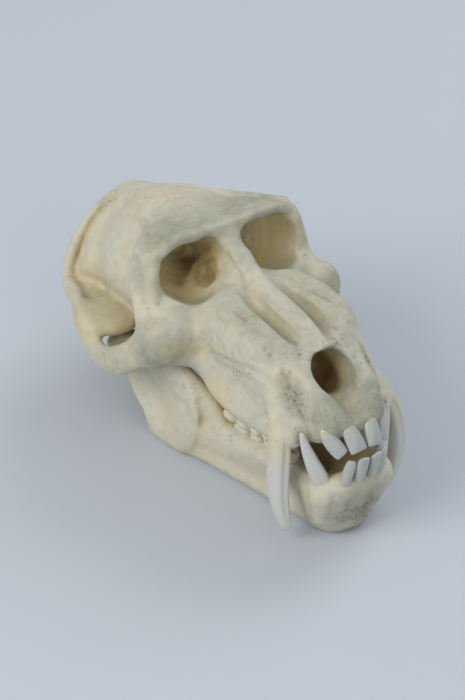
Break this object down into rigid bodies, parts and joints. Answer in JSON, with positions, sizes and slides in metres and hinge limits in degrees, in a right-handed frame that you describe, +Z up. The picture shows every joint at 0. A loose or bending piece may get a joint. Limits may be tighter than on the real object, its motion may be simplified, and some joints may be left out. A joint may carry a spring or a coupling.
{
  "type": "mandrill skull",
  "caption": "Skull of a grown male mandrill with a long ridged muzzle, round orbits, wide cheek arches, long curved canines and its lower jaw in place.",
  "frame": {"origin": "on the ground under the middle of the skull, level with the flat lower border of its jaw", "axes": "+Z up; -Y the way the muzzle points; +X towards the skull's own left side"},
  "size_m": [0.12, 0.2038, 0.1076],
  "materials": {
    "upper_bone": "dry pale bone",
    "lower_bone": "dry pale bone",
    "front_enamel": "glossy enamel",
    "cheek_enamel": "glossy enamel"
  },
  "bodies": {
    "root": {"cranium": "upper_bone", "mandible": "lower_bone", "left_upper_incisor_1": "front_enamel", "left_upper_incisor_2": "front_enamel", "left_upper_canine": "front_enamel", "left_upper_premolar_3": "cheek_enamel", "left_upper_premolar_4": "cheek_enamel", "left_upper_molar_1": "cheek_enamel", "left_upper_molar_2": "cheek_enamel", "left_upper_molar_3": "cheek_enamel", "left_lower_incisor_1": "front_enamel", "left_lower_incisor_2": "front_enamel", "left_lower_canine": "front_enamel", "left_lower_premolar_3": "cheek_enamel", "left_lower_premolar_4": "cheek_enamel", "left_lower_molar_1": "cheek_enamel", "left_lower_molar_2": "cheek_enamel", "left_lower_molar_3": "cheek_enamel", "right_upper_incisor_1": "front_enamel", "right_upper_incisor_2": "front_enamel", "right_upper_canine": "front_enamel", "right_upper_premolar_3": "cheek_enamel", "right_upper_premolar_4": "cheek_enamel", "right_upper_molar_1": "cheek_enamel", "right_upper_molar_2": "cheek_enamel", "right_upper_molar_3": "cheek_enamel", "right_lower_incisor_1": "front_enamel", "right_lower_incisor_2": "front_enamel", "right_lower_canine": "front_enamel", "right_lower_premolar_3": "cheek_enamel", "right_lower_premolar_4": "cheek_enamel", "right_lower_molar_1": "cheek_enamel", "right_lower_molar_2": "cheek_enamel", "right_lower_molar_3": "cheek_enamel"}
  },
  "joints": []
}
